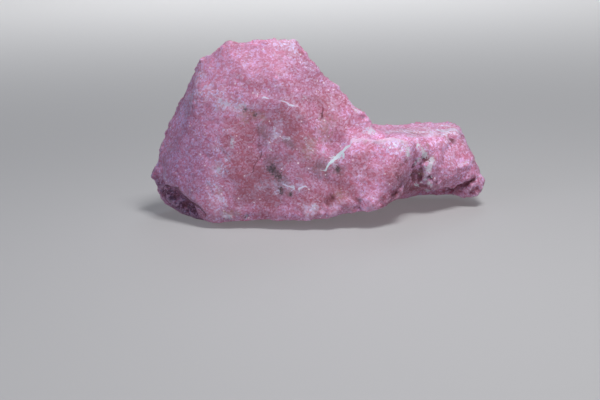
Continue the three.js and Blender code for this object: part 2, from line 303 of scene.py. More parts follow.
# Broad zones by name: the pixel at the middle and the radius.
ZONES = {
    "rose": [
        ((240, 138), 4.0), ((236, 163), 4.0), ((250, 188), 4.5), ((276, 198), 4.0), ((308, 201), 4.0),
        ((344, 190), 4.0), ((356, 166), 3.5), ((330, 112), 3.5), ((346, 124), 3.0), ((285, 114), 4.0),
        ((302, 136), 4.0), ((392, 168), 3.0),
    ],
    # pale lilac patches; those along the upper left edge, (200, 76) to (183, 116), are partly painted cool
    # light from the left
    "lilac": [
        ((231, 104), 2.6), ((221, 104), 2.0), ((244, 106), 1.8), ((277, 133), 1.6), ((270, 142), 1.4),
        ((217, 148), 2.2), ((262, 184), 1.8), ((275, 185), 1.6), ((290, 186), 1.6), ((302, 186), 1.5),
        ((217, 170), 1.8), ((216, 185), 1.8), ((219, 200), 2.0), ((217, 212), 2.0), ((200, 76), 2.8),
        ((206, 88), 2.8), ((190, 100), 2.8), ((183, 116), 2.8), ((392, 144), 2.2), ((404, 146), 2.0),
        ((312, 210), 2.0), ((287, 45), 3.0), ((153, 170), 1.4),
    ],
    # violet on the left side: partly the rock's own tone, partly painted cool light from the left
    "violet": [((153, 172), 2.5), ((180, 160), 9.0), ((180, 200), 7.0), ((184, 115), 7.0)],
    # painted shade on the broken corner at the lower left, whose facet faces down and away from the light
    "facet_shade": [((172, 196), 3.4), ((184, 206), 3.4), ((196, 214), 2.6), ((160, 190), 2.4)],
    "streaked": [
        ((392, 132), 2.0), ((408, 132), 3.0), ((424, 131), 4.5), ((438, 130), 4.5), ((452, 129), 3.5),
    ],
    # painted shade: darker under the arm, in the valley, along the lower edges and on front faces that turn
    # from the light
    "painted_shade": [
        ((272, 118), 4.5), ((285, 148), 5.5), ((298, 172), 5.0), ((268, 180), 5.5), ((246, 196), 4.0),
        ((312, 75), 5.0), ((336, 157), 2.6), ((322, 172), 2.8), ((206, 206), 2.6), ((193, 193), 2.0),
        ((226, 216), 2.4), ((475, 190), 2.4), ((331, 201), 2.2), ((396, 132), 3.5), ((402, 185), 3.0),
        ((414, 187), 3.0), ((396, 196), 2.2), ((429, 160), 2.2), ((427, 180), 2.8), ((428, 172), 2.4),
        ((335, 211), 2.2), ((354, 204), 2.2), ((153, 172), 1.8), ((408, 131), 3.5),
    ],
    # painted light: lighter where the shoulder's top, the arm's upper band and end, the valley and a few
    # front parts catch the light
    "painted_light": [
        ((375, 148), 4.5), ((394, 148), 3.5), ((366, 172), 4.5), ((334, 122), 4.0), ((467, 160), 3.5),
        ((434, 144), 3.6), ((446, 143), 2.4), ((378, 142), 2.5), ((183, 118), 2.5), ((412, 149), 3.0),
        ((422, 147), 3.0), ((322, 140), 3.5), ((417, 163), 2.8), ((417, 157), 2.6), ((416, 175), 2.0),
        ((412, 141), 2.5), ((386, 144), 2.6),
    ],
    # crumbly parts, with painted shade in their gaps and painted highlight on their ridges, and a part whose
    # edge has no chips and no painted edge highlight
    "rough": [
        ((165, 194), 2.6), ((176, 204), 3.0), ((190, 212), 2.4), ((412, 170), 2.0), ((417, 160), 2.0),
        ((419, 180), 2.4), ((428, 176), 2.0), ((425, 162), 2.0), ((404, 188), 2.0), ((396, 197), 1.8),
        ((436, 188), 1.8), ((455, 188), 1.8), ((470, 183), 1.6), ((472, 192), 1.6), ((452, 142), 1.4),
    ],
    "calm": [((153.5, 172), 2.2)],
}


def camera_turn():
    """The camera's own x, y and z axes as the columns of a matrix."""
    right = Vector((1, 0, 0))
    up = Vector((0, math.sin(CAMERA_DOWN), math.cos(CAMERA_DOWN)))
    back = Vector((0, -math.cos(CAMERA_DOWN), math.sin(CAMERA_DOWN)))
    across = right * math.cos(CAMERA_LEAN) - up * math.sin(CAMERA_LEAN)
    upright = right * math.sin(CAMERA_LEAN) + up * math.cos(CAMERA_LEAN)
    return Matrix((across, upright, back)).transposed()


def sight(pixel):
    """Direction in which the camera sees a pixel of the photograph."""
    focal = LENS / SENSOR_WIDTH * PHOTO_WIDTH
    across = (pixel[0] - PHOTO_WIDTH / 2) / focal
    upward = (PHOTO_HEIGHT / 2 - pixel[1]) / focal
    return (camera_turn() @ Vector((across, upward, -1))).normalized()


class Surface:
    """The fine mesh as arrays: points in millimetres, normals, and pairs of points that share an edge."""

    def __init__(self, mesh):
        self.mesh = mesh
        self.points = self.read("co") / METRES
        pairs = np.empty(len(mesh.edges) * 2, int)
        mesh.edges.foreach_get("vertices", pairs)
        self.pairs = pairs.reshape(-1, 2)
        self.counts = np.bincount(self.pairs.ravel(), minlength=len(self.points))
        self.refresh()

    def read(self, name):
        flat = np.empty(len(self.mesh.vertices) * 3)
        self.mesh.vertices.foreach_get(name, flat)
        return flat.reshape(-1, 3)

    def refresh(self):
        """Writes the points to the mesh and reads its new normals."""
        self.mesh.vertices.foreach_set("co", (self.points * METRES).ravel())
        self.mesh.update()
        self.normals = self.read("normal")

    def settle(self):
        """Keeps the points above the base, then refreshes."""
        self.points[:, 2] = np.maximum(self.points[:, 2], 0)
        self.refresh()

    def around(self, values):
        """Mean of each point's neighbours."""
        first, second = self.pairs.T
        total = np.zeros_like(values)
        for axis in range(values.shape[1]):
            total[:, axis] += np.bincount(first, values[second, axis], minlength=len(values))
            total[:, axis] += np.bincount(second, values[first, axis], minlength=len(values))
        return total / self.counts[:, None]

    def spread(self, values, passes):
        """Values evened out over the surface."""
        for _ in range(passes):
            values = 0.5 * values + 0.5 * self.around(values)
        return values

    def outward(self, shift):
        """How far a shift of each point goes out along its normal."""
        return (shift * self.normals).sum(1)

    def write(self, name, values):
        """Keeps one number a point on the mesh, for the material."""
        layer = self.mesh.attributes.new(name, "FLOAT", "POINT")
        layer.data.foreach_set("value", values.astype(np.float32))


def fine_copy(node):
    """A new object with the node's shape in a fine, even mesh."""
    welded = bmesh.new()
    welded.from_mesh(node.data)
    bmesh.ops.remove_doubles(welded, verts=welded.verts, dist=WELD * METRES)
    mesh = bpy.data.meshes.new(PIECE)
    welded.to_mesh(mesh)
    welded.free()
    coarse = bpy.data.objects.new("coarse", mesh)
    bpy.context.scene.collection.objects.link(coarse)
    remesh = coarse.modifiers.new("fine", "REMESH")
    remesh.mode = "VOXEL"
    remesh.voxel_size = POINT_SPACING * METRES
    fine = bpy.data.meshes.new_from_object(coarse.evaluated_get(bpy.context.evaluated_depsgraph_get()))
    bpy.data.objects.remove(coarse)
    piece = bpy.data.objects.new(PIECE, fine)
    bpy.context.scene.collection.objects.link(piece)
    return piece


def soften(surface):
    """Takes the facets of the solid out of the mesh without shrinking it."""
    for _ in range(SOFTEN_PASSES):
        for step in SOFTEN_STEPS:
            surface.points += step * (surface.around(surface.points) - surface.points)
    surface.refresh()


def sharpen(surface):
    """Draws the worn edges of the stone out again, as a new break has them."""
    surface.points += SHARPEN * (surface.points - surface.spread(surface.points, SHARPEN_PASSES))
    surface.settle()


def smooth_step(values, low, high):
    share = np.clip((values - low) / (high - low), 0, 1)
    return share * share * (3 - 2 * share)


def bell(shares):
    """1 at the middle, falling off on both sides to nearly 0 at twice the width."""
    return np.exp(-shares ** 2)


def layered(points, layers, shifts, height_at):
    """Height of several layers of noise on top of each other."""
    start, step = shifts
    total = np.zeros(len(points))
    for index, (size, tall) in enumerate(layers):
        total += tall * height_at(points, size, start + step * index)
    return total


def swells_at(points, wavelength, shift):
    places = (points / wavelength + shift).tolist()
    return np.array([noise.noise(place) for place in places])


def facets_at(points, size, shift):
    """Heights of small flat facets, each tilted its own way."""
    heights = np.empty(len(points))
    for index, place in enumerate((points / size + shift).tolist()):
        seed = noise.voronoi(place)[1][0]
        heights[index] = (Vector(place) - seed).dot(noise.noise_vector(seed * TILT_SPREAD))
    return heights * size


def wandered(surface):
    """The points moved about a little along the surface, so that what is measured from them is ragged."""
    shift = np.zeros_like(surface.points)
    for index, (wavelength, reach) in enumerate(WANDER):
        places = (surface.points / wavelength + WANDER_STEP * index).tolist()
        shift += reach * np.array([noise.noise_vector(place) for place in places])
    return surface.points + shift - surface.outward(shift)[:, None] * surface.normals


class Placer:
    """Finds where pixels of the photograph lie on the stone."""

    def __init__(self, surface):
        corners = [polygon.vertices for polygon in surface.mesh.polygons]
        self.tree = BVHTree.FromPolygons(surface.points.tolist(), corners)

    def on_stone(self, pixel):
        """Place of a pixel and the normal there."""
        place, normal, _, _ = self.tree.ray_cast(Vector(CAMERA_PLACE), sight(pixel))
        if place is None:
            place, normal = self.beside_stone(pixel)
        return np.array(place), np.array(normal)

    def beside_stone(self, pixel):
        """For a pixel just off the outline, the nearest point of the stone."""
        way = sight(pixel)
        distance = (Vector(STONE_HEART) - Vector(CAMERA_PLACE)).dot(way)
        place, normal, _, _ = self.tree.find_nearest(Vector(CAMERA_PLACE) + way * distance)
        return place, normal

    def path(self, pixels):
        found = [self.on_stone(pixel) for pixel in pixels]
        return np.array([place for place, _ in found]), np.array([normal for _, normal in found])

    def distances(self, points, pixel):
        """Distance of each point from the place of a pixel."""
        return np.linalg.norm(points - self.on_stone(pixel)[0], axis=1)


def from_path(points, path, normals):
    """Distance of each point from a line, its distance to the left hand, and the share of the way along."""
    if len(path) == 1:
        distance = np.linalg.norm(points - path[0], axis=1)
        return distance, distance, np.full(len(points), 0.5)
    lengths = np.linalg.norm(np.diff(path, axis=0), axis=1)
    starts = np.concatenate([[0], np.cumsum(lengths)])
    best = np.full(len(points), np.inf)
    side = np.zeros(len(points))
    along = np.zeros(len(points))
    for index, length in enumerate(lengths):
        way = (path[index + 1] - path[index]) / length
        left = np.cross(normals[index] + normals[index + 1], way)
        left /= np.linalg.norm(left)
        offset = points - path[index]
        run = np.clip(offset @ way, 0, length)
        apart = offset - run[:, None] * way
        distance = np.linalg.norm(apart, axis=1)
        nearer = distance < best
        best[nearer] = distance[nearer]
        side[nearer] = (apart @ left)[nearer]
        along[nearer] = ((starts[index] + run) / starts[-1])[nearer]
    return best, side, along


def ends_fade(along):
    return smooth_step(along, 0.0, END_SHARE) * smooth_step(1 - along, 0.0, END_SHARE)


def zone_share(points, placer, zones):
    """1 in the middle of a zone, fading to 0 outside it."""
    value = np.zeros(len(points))
    for pixel, radius in zones:
        value = 1 - (1 - value) * (1 - bell(placer.distances(points, pixel) / radius))
    return value


def edge_share(surface):
    """1 on the stone's outer edges, 0 on its faces and in its hollows."""
    apart = surface.points - surface.spread(surface.points, EDGE_PASSES)
    return smooth_step(surface.outward(apart), *EDGE_STANDS_OUT)


def hidden_share(surface):
    """1 on the sides that face away from the photograph's camera, 0 on those that face it."""
    facing = surface.spread(surface.normals, NORMAL_PASSES)[:, 1]
    return smooth_step(facing, *HIDDEN_TURN)


def broken_relief(surface, placer):
    """Height of the swells, facets, chips and crumbs that the rock breaks into."""
    points = surface.points
    height = layered(points, SWELLS, SWELL_SHIFTS, swells_at)
    height += layered(points, FACETS, FACET_SHIFTS, facets_at)
    edges = edge_share(surface) * (1 - zone_share(points, placer, ZONES["calm"]))
    height += edges * (layered(points, CHIPS, CHIP_SHIFTS, facets_at) - CHIP_CUT)
    height += hidden_share(surface) * layered(points, HIDDEN_FACETS, HIDDEN_SHIFTS, facets_at)
    crumbs = layered(points / (1, 1, CRUMB_UPRIGHT), CRUMBS, CRUMB_SHIFTS, facets_at)
    height += zone_share(points, placer, ZONES["rough"]) * np.clip(crumbs, -CRUMB_TALL, CRUMB_TALL)
    return height


def filled_relief(surface, placer):
    """Height that fills up the hollows in the zones where the solid is too deep."""
    sunk = surface.outward(surface.spread(surface.points, FILL_PASSES) - surface.points)
    return zone_share(surface.points, placer, FILL_ZONES) * np.maximum(sunk, 0)


def placed_relief(surface, placer):
    """Height of the steps, grooves, lumps and pits that have a place of their own."""
    ragged = wandered(surface)
    height = np.zeros(len(ragged))
    for pixels, tall, face, run in STEPS:
        distance, side, along = from_path(ragged, *placer.path(pixels))
        height += tall / 2 * np.tanh(side / face) * bell(distance / run) * ends_fade(along)
    for pixels, deep, half in GROOVES:
        distance, _, along = from_path(ragged, *placer.path(pixels))
        height -= deep * bell(distance / half) * ends_fade(along)
    for pixel, radius, tall in LUMPS:
        height += tall * bell(placer.distances(ragged, pixel) / radius)
    return height


def add_relief(surface, placer):
    """Moves the points along the stone's own normals, but not those at the flat base."""
    height = broken_relief(surface, placer)
    height += filled_relief(surface, placer) + placed_relief(surface, placer)
    height *= smooth_step(surface.points[:, 2], 0.0, BASE_FADE)
    normals = surface.spread(surface.normals, NORMAL_PASSES)
    normals /= np.linalg.norm(normals, axis=1)[:, None]
    surface.points = surface.points + height[:, None] * normals
    surface.settle()


def filled_line(pixels, halves):
    """The line with points put in between, to follow the surface, and the half width at each of them."""
    marks = np.column_stack([pixels, halves])
    steps = np.linalg.norm(np.diff(marks[:, :2], axis=0), axis=1)
    places = np.concatenate([[0], np.cumsum(steps)])
    even = np.linspace(0, places[-1], 2 + int(places[-1] / PIXEL_STEP))
    filled = np.column_stack([np.interp(even, places, column) for column in marks.T])
    return filled[:, :2].tolist(), filled[:, 2]


def write_thin(surface, placer, ragged, name, marks):
    """For each point, the distance across the nearest thin mark and that mark's half width there."""
    nearest = np.full(len(ragged), FAR_AWAY)
    across = np.full(len(ragged), FAR_AWAY)
    half_width = np.zeros(len(ragged))
    for pixels, halves in marks:
        filled, widths = filled_line(pixels, halves)
        path, normals = placer.path(filled)
        distance, side, along = from_path(ragged, path, normals)
        reached = np.cumsum(np.linalg.norm(np.diff(path, axis=0), axis=1))
        width = np.interp(along, np.concatenate([[0], reached / reached[-1]]), widths)
        nearer = distance < nearest
        nearest[nearer] = distance[nearer]
        across[nearer] = np.where(np.abs(side) < BESIDE * distance, distance, side)[nearer]
        half_width[nearer] = np.where(distance < THIN_REACH, width, 0)[nearer]
    surface.write(name + "_across", across)
    surface.write(name + "_half", half_width)


def write_soft(surface, placer, ragged, name, marks):
    """For each point, 1 in the middle of a mark, a half at its edge and 0 at twice its half width."""
    value = np.zeros(len(ragged))
    for pixels, half in marks:
        distance, _, _ = from_path(ragged, *placer.path(pixels))
        value = np.maximum(value, np.clip(1 - distance / (2 * half), 0, 1))
    surface.write(name, value)


def write_relief_heights(surface):
    """How far each point stands out of its surroundings: near ones for grains, wider for folds and edges."""
    near_passes, middle_passes, far_passes = RELIEF_PASSES
    near = surface.spread(surface.points, near_passes)
    middle = surface.spread(near, middle_passes)
    far = surface.spread(middle, far_passes)
    surface.write("grain_height", surface.outward(surface.points - near))
    surface.write("fold_height", surface.outward(near - middle))
    surface.write("edge_height", surface.outward(near - far))


def write_marks(surface):
    """Keeps on the mesh where each mark and zone lies, and how far each point stands out, which the painted
    shade and highlight follow.
    """
    placer = Placer(surface)
    ragged = wandered(surface)
    for name, marks in THIN_MARKS.items():
        write_thin(surface, placer, ragged, name, marks)
    for name, marks in SOFT_MARKS.items():
        write_soft(surface, placer, ragged, name, marks)
    for name, zones in ZONES.items():
        surface.write(name, zone_share(surface.points, placer, zones))
    surface.write("hidden", hidden_share(surface))
    write_relief_heights(surface)


def linear(red, green, blue):
    """A colour given as 0 to 255 on a screen, as the shader's numbers."""
    shares = [value / 255 for value in (red, green, blue)]
    return tuple(s / 12.92 if s < 0.04045 else ((s + 0.055) / 1.055) ** 2.4 for s in shares) + (1.0,)


PINK = linear(216, 155, 195)
ROSE = linear(190, 127, 154)
LILAC = linear(224, 188, 222)
VIOLET = linear(160, 122, 170)
# painted shade of the lower left facet
SHADED_FACET = linear(84, 52, 86)
ASH = linear(224, 204, 228)
# painted shade in sunk grains and folds
CREVICE_SHADE = linear(128, 72, 92)
# painted highlight on edges
EDGE_HIGHLIGHT = linear(236, 196, 222)
# painted highlight on crests
CREST_HIGHLIGHT = linear(238, 214, 240)
# painted glints
PAINTED_GLINT = linear(250, 238, 248)
STREAK = linear(204, 224, 232)
SCRATCH = linear(222, 222, 246)
BIT = linear(212, 204, 226)
SPOT = linear(70, 62, 66)
OLIVE = linear(160, 136, 118)
CREAM = linear(238, 238, 252)
CRACK = linear(104, 48, 62)
# painted shade in hollows
HOLLOW_SHADE = linear(124, 58, 68)
# painted shade in the gaps of crumbly parts
GAP = linear(104, 50, 64)
# darker, greyer patches round pits
GREY_PATCH = linear(118, 96, 106)

# Tints that multiply the colour: painted shade, painted light, and rosy and pale grains and patches.
PAINTED_SHADE_TINT = (0.74, 0.74, 0.74, 1.0)
PAINTED_LIGHT_TINT = (1.28, 1.31, 1.34, 1.0)
ROSY_GRAIN = (0.90, 0.61, 0.62, 1.0)
PALE_GRAIN = (1.19, 1.64, 1.57, 1.0)
ROSY_PATCH = (0.98, 0.92, 0.91, 1.0)
PALE_PATCH = (1.02, 1.08, 1.09, 1.0)

# Layers of noise in the material: wavelength, detail and shift.
CLOUD = (8.0, 3.0, 3.0)
MOTTLE = (2.4, 3.0, 9.0)
PITTING = (0.7, 3.0, 13.0)
VEIL = (3.6, 4.0, 21.0)
BANDS = (1.3, 4.0, 33.0)
THIN_EDGE = (0.7, 2.0, 41.0)
PATCHES = (1.1, 3.0, 47.0)
CRUMBLE = (0.9, 3.0, 81.0)
POLISH = (0.9, 2.0, 91.0)
SOFT_EDGE_DETAIL = 3.0
SOFT_EDGE_SHIFT = 57.0
HIDDEN_DETAIL = 4.0
HIDDEN_ROUGHNESS = 0.6
# Bands run along the arm: how much the noise is drawn out each way.
BAND_STRETCH = (0.16, 0.6, 1.0)
# How far a shift moves along x, y and z.
SHIFT_WAY = (1.0, 0.7, -1.0)

# Ground: where a value begins to show and is full, and the share that it then has.
CLOUD_SHARE = 0.55
ROSE_LIFT = 0.22
ROSE_RANGE = (0.44, 0.72)
LILAC_LIFT = 0.3
LILAC_RANGE = (0.55, 0.82)
LILAC_SHARE = 0.8
VIOLET_SHARE = 0.55
CRUMBLE_GRAIN = 0.3
CRUMBLE_RANGE = (0.5, 0.8)
CRUMBLE_LEAST = 0.25
BAND_RANGE = (0.47, 0.57)
BAND_SHARE = 0.8
BAND_LEAST = 0.05

# Grain: size, shift, slope of its faces, how rare pale ones are, range of patches, spread of brightness.
GRAIN_SIZE = 0.37
GRAIN_SHIFT = 17.0
FACET_SLOPE = 0.35
PALE_RARE = 1.5
PATCH_RANGE = (0.3, 0.7)
GRAIN_BRIGHT = 0.10

# Painted shade and highlight: how far a place is sunk or stands out where it begins to show and is full, and
# its share.
SUNK_RANGE = (-0.02, -0.14)
GRAIN_GAP_SHARE = 0.3
FOLD_GAP_SHARE = 0.4
GAP_RANGE = (0.01, -0.08)
GAP_SHARE = 0.6
RIDGE_RANGE = (0.02, 0.10)
RIDGE_SHARE = 0.4
EDGE_RANGE = (0.15, 0.8)
PALE_EDGE_SHARE = 0.4

# Soft marks in painting order: the name, the wavelength of the ragged edge, where the mark begins and
# is full, how ragged it is, how much single grains stand out of it, its share and its colour.
# painted shade in the hollows, painted before the other marks
HOLLOW_PAINT = [("hollow_shade", 0.8, (0.15, 0.95), 1.2, 0.7, 0.52, HOLLOW_SHADE)]
SOFT_PAINT = [
    # painted highlight along the crests
    ("crest_highlight", 0.9, (0.2, 0.8), 0.9, 0.7, 0.7, CREST_HIGHLIGHT),
    ("olive_stain", 1.0, (0.2, 1.1), 0.8, 0.7, 0.42, OLIVE),
    ("grey_patch", 1.0, (0.1, 1.0), 0.9, 0.4, 0.55, GREY_PATCH),
    ("dark_spot", 0.5, (0.2, 1.0), 1.4, 0.45, 0.85, SPOT),
    ("cream_crystal", 0.45, (0.35, 0.65), 1.5, 0.7, 0.8, CREAM),
    ("pale_bit", 0.4, (0.25, 0.95), 1.8, 0.7, 0.8, BIT),
]
SOFT_PRESENT = (0.02, 0.3)
# Thin marks: the name, how ragged the edge is, the share and the colour.
THIN_PAINT = [
    ("crack", 1.2, 0.7, CRACK),
    ("pale_streak", 0.9, 0.92, STREAK),
    ("pale_scratch", 0.9, 0.9, SCRATCH),
]
THIN_BLUR = 0.08
THIN_FULL = 0.16
# Patches on the hidden sides: wavelength, shift, where they begin and are full, share and colour,
# and how much single grains stand out.
HIDDEN_PAINT = [
    (9.0, 63.0, (0.56, 0.72), 0.6, ROSE),
    (5.0, 29.0, (0.62, 0.74), 0.7, BIT),
    (6.0, 77.0, (0.64, 0.76), 0.6, OLIVE),
    (2.6, 85.0, (0.72, 0.80), 0.8, SPOT),
]
HIDDEN_GRAIN = 0.10

# Sparkles, painted glints of light: how far apart they are, the share of places with none, the least size
# and what chance adds, their share, and how much smoother they are.
SPARKLE_SPACING = 1.25
SPARKLE_SHIFT = 71.0
SPARKLE_NONE = 0.58
SPARKLE_SIZE = 0.06
SPARKLE_MORE = 0.12
SPARKLE_SHARE = 0.7
SPARKLE_POLISH = -0.25

# Finish: roughness and what the noise adds, gloss, light inside the rock, and the height of the pitting.
ROUGHNESS = 0.5
ROUGHNESS_MORE = 0.3
GLOSS = 0.45
LIGHT_INSIDE = 0.2
LIGHT_REACH = 0.4
LIGHT_COLOUR = (1.0, 0.45, 0.55)
PITTING_HEIGHT = 0.10


class Graph:
    """Adds shader nodes to a material. Every call gives the socket that comes out."""

    def __init__(self, material):
        self.tree = material.node_tree
        coordinates = self.node("ShaderNodeTexCoord")
        self.place = self.vector("SCALE", coordinates.outputs["Object"], scale=1 / METRES)

    def node(self, kind, **settings):
        made = self.tree.nodes.new(kind)
        for name, value in settings.items():
            setattr(made, name, value)
        return made

    def feed(self, socket, value):
        if isinstance(value, bpy.types.NodeSocket):
            self.tree.links.new(value, socket)
        else:
            socket.default_value = value

    def vector(self, operation, first, second=None, scale=None, output="Vector"):
        made = self.node("ShaderNodeVectorMath", operation=operation)
        self.feed(made.inputs[0], first)
        if second is not None:
            self.feed(made.inputs[1], second)
        if scale is not None:
            self.feed(made.inputs["Scale"], scale)
        return made.outputs[output]

    def math(self, operation, first, second=0.0, third=0.0):
        made = self.node("ShaderNodeMath", operation=operation)
        for socket, value in zip(made.inputs, (first, second, third)):
            self.feed(socket, value)
        return made.outputs[0]

    def times(self, first, second):
        return self.math("MULTIPLY", first, second)

    def scaled(self, value, factor, start):
        """The value times a factor, added to a start."""
        return self.math("MULTIPLY_ADD", value, factor, start)

    def centred(self, value, reach):
        """A value from 0 to 1, stretched to the reach and moved to lie about 0."""
        return self.scaled(value, reach, -reach / 2)

    def smooth(self, value, low, high):
        made = self.node("ShaderNodeMapRange", interpolation_type="SMOOTHSTEP")
        for name, given in (("Value", value), ("From Min", low), ("From Max", high)):
            self.feed(made.inputs[name], given)
        return made.outputs["Result"]

    def mix(self, share, first, second, blend="MIX"):
        made = self.node("ShaderNodeMix", data_type="RGBA", blend_type=blend)
        for index, value in ((0, share), (6, first), (7, second)):
            self.feed(made.inputs[index], value)
        return made.outputs[2]

    def paint(self, colour, place, share, tint):
        """The colour with a share of another one laid over it where the place says."""
        return self.mix(self.times(place, share), colour, tint)

    def tinted(self, colour, tint):
        return self.mix(1.0, colour, tint, "MULTIPLY")

    def attribute(self, name):
        return self.node("ShaderNodeAttribute", attribute_name=name).outputs["Fac"]

    def shifted(self, shift):
        return self.vector("ADD", self.place, tuple(shift * way for way in SHIFT_WAY))

    def noise(self, wavelength, detail, shift, roughness=0.55, stretch=(1.0, 1.0, 1.0)):
        made = self.node("ShaderNodeTexNoise")
        self.feed(made.inputs["Vector"], self.vector("MULTIPLY", self.shifted(shift), stretch))
        self.feed(made.inputs["Scale"], 1 / wavelength)
        self.feed(made.inputs["Detail"], detail)
        self.feed(made.inputs["Roughness"], roughness)
        return made.outputs["Fac"]

    def cells(self, size, shift):
        """Cells of a given size: the node, and three chances from 0 to 1 for each cell."""
        made = self.node("ShaderNodeTexVoronoi")
        self.feed(made.inputs["Vector"], self.shifted(shift))
        self.feed(made.inputs["Scale"], 1 / size)
        chances = self.node("ShaderNodeSeparateColor")
        self.feed(chances.inputs[0], made.outputs["Color"])
        return made, chances.outputs


class RockGraph(Graph):
    """A graph with the rock's grains and three chances for each of them."""

    def __init__(self, material):
        super().__init__(material)
        self.grains, self.chances = self.cells(GRAIN_SIZE, GRAIN_SHIFT)


def ground_colour(graph):
    """Pink rock with its rose, lilac, violet and streaked parts, the left's violet and lilac partly painted
    cool light, and its painted shade and painted light.
    """
    cloud = graph.times(graph.noise(*CLOUD), CLOUD_SHARE)
    drift = graph.math("ADD", cloud, graph.times(graph.noise(*MOTTLE), 1 - CLOUD_SHARE))
    rose = graph.scaled(graph.attribute("rose"), ROSE_LIFT, drift)
    colour = graph.mix(graph.smooth(rose, *ROSE_RANGE), PINK, ROSE)
    lilac = graph.scaled(graph.attribute("lilac"), LILAC_LIFT, graph.noise(*VEIL))
    colour = graph.paint(colour, graph.smooth(lilac, *LILAC_RANGE), LILAC_SHARE, LILAC)
    # violet, partly painted cool light from the left
    colour = graph.paint(colour, graph.attribute("violet"), VIOLET_SHARE, VIOLET)
    crumbled = graph.scaled(graph.chances[1], CRUMBLE_GRAIN, graph.noise(*CRUMBLE))
    crumbled = graph.scaled(graph.smooth(crumbled, *CRUMBLE_RANGE), 1 - CRUMBLE_LEAST, CRUMBLE_LEAST)
    # painted shade on the lower left facet
    colour = graph.paint(colour, graph.attribute("facet_shade"), crumbled, SHADED_FACET)
    # painted shade
    colour = graph.mix(graph.attribute("painted_shade"), colour, graph.tinted(colour, PAINTED_SHADE_TINT))
    # painted light
    colour = graph.mix(graph.attribute("painted_light"), colour, graph.tinted(colour, PAINTED_LIGHT_TINT))
    bands = graph.smooth(graph.noise(*BANDS, stretch=BAND_STRETCH), *BAND_RANGE)
    bands = graph.scaled(bands, BAND_SHARE, BAND_LEAST)
    return graph.paint(colour, graph.attribute("streaked"), bands, ASH)


def grain_colour(graph, colour):
    """Rosy grains and pale ones side by side, and patches that hold more of one kind."""
    pale = graph.math("POWER", graph.chances[0], PALE_RARE)
    colour = graph.tinted(colour, graph.mix(pale, ROSY_GRAIN, PALE_GRAIN))
    patch = graph.smooth(graph.noise(*PATCHES), *PATCH_RANGE)
    colour = graph.tinted(colour, graph.mix(patch, ROSY_PATCH, PALE_PATCH))
    return graph.tinted(colour, graph.scaled(graph.chances[2], GRAIN_BRIGHT, 1 - GRAIN_BRIGHT / 2))


def painted_shade_and_highlight(graph, colour):
    """Painted shade in the gaps and folds, painted highlight on the ridges and edges."""
    fold_height = graph.attribute("fold_height")
    rough = graph.attribute("rough")
    # painted shade in the sunk grains and folds
    grain_gaps = graph.smooth(graph.attribute("grain_height"), *SUNK_RANGE)
    colour = graph.paint(colour, grain_gaps, GRAIN_GAP_SHARE, CREVICE_SHADE)
    colour = graph.paint(colour, graph.smooth(fold_height, *SUNK_RANGE), FOLD_GAP_SHARE, CREVICE_SHADE)
    # painted shade in the gaps of the crumbly parts
    gaps = graph.times(rough, graph.smooth(fold_height, *GAP_RANGE))
    colour = graph.paint(colour, gaps, GAP_SHARE, GAP)
    # painted highlight on the ridges of the crumbly parts
    ridges = graph.times(rough, graph.smooth(fold_height, *RIDGE_RANGE))
    colour = graph.paint(colour, ridges, RIDGE_SHARE, LILAC)
    # painted highlight on the edges
    edges = graph.times(graph.smooth(graph.attribute("edge_height"), *EDGE_RANGE), PALE_EDGE_SHARE)
    dim = graph.math("MAXIMUM", graph.attribute("calm"), graph.attribute("facet_shade"))
    return graph.paint(colour, edges, graph.math("SUBTRACT", 1.0, dim), EDGE_HIGHLIGHT)


def soft_marks(graph, colour, paint):
    """Marks with a ragged edge that breaks up into single grains."""
    for name, wavelength, shown, ragged, grain, share, tint in paint:
        edge = graph.centred(graph.noise(wavelength, SOFT_EDGE_DETAIL, SOFT_EDGE_SHIFT), ragged)
        wander = graph.math("ADD", edge, graph.centred(graph.chances[1], grain))
        value = graph.attribute(name)
        mark = graph.smooth(graph.math("ADD", value, wander), *shown)
        colour = graph.paint(colour, graph.times(mark, graph.smooth(value, *SOFT_PRESENT)), share, tint)
    return colour


def thin_marks(graph, colour):
    """Thin lines with a ragged edge."""
    for name, ragged, share, tint in THIN_PAINT:
        across = graph.math("ABSOLUTE", graph.attribute(name + "_across"))
        wander = graph.scaled(graph.noise(*THIN_EDGE), ragged, 1 - ragged / 2)
        half = graph.times(graph.attribute(name + "_half"), wander)
        inside = graph.smooth(graph.math("SUBTRACT", half, across), -THIN_BLUR, THIN_BLUR)
        mark = graph.times(inside, graph.smooth(half, 0.0, THIN_FULL))
        colour = graph.paint(colour, mark, share, tint)
    return colour


def hidden_marks(graph, colour):
    """Patches on the sides that the photograph does not show."""
    hidden = graph.attribute("hidden")
    for wavelength, shift, shown, share, tint in HIDDEN_PAINT:
        cloud = graph.noise(wavelength, HIDDEN_DETAIL, shift, HIDDEN_ROUGHNESS)
        patch = graph.smooth(graph.scaled(graph.chances[1], HIDDEN_GRAIN, cloud), *shown)
        colour = graph.paint(colour, graph.times(patch, hidden), share, tint)
    return colour


def sparkle_mark(graph):
    """Tiny bright grain faces, scattered over the rock: painted glints in the colour, smoother in the
    roughness.
    """
    dots, chances = graph.cells(SPARKLE_SPACING, SPARKLE_SHIFT)
    chosen = graph.math("GREATER_THAN", chances[0], SPARKLE_NONE)
    size = graph.scaled(chances[1], SPARKLE_MORE, SPARKLE_SIZE)
    return graph.times(chosen, graph.math("LESS_THAN", dots.outputs["Distance"], size))


def grain_faces(graph):
    """Height in millimetres of flat grain faces, each tilted its own way, and of the pitting on them."""
    offset = graph.vector("SUBTRACT", graph.shifted(GRAIN_SHIFT), graph.grains.outputs["Position"])
    tilt = graph.vector("SUBTRACT", graph.grains.outputs["Color"], (0.5, 0.5, 0.5))
    faces = graph.times(graph.vector("DOT_PRODUCT", offset, tilt, output="Value"), FACET_SLOPE)
    return graph.scaled(graph.noise(*PITTING), PITTING_HEIGHT, faces)


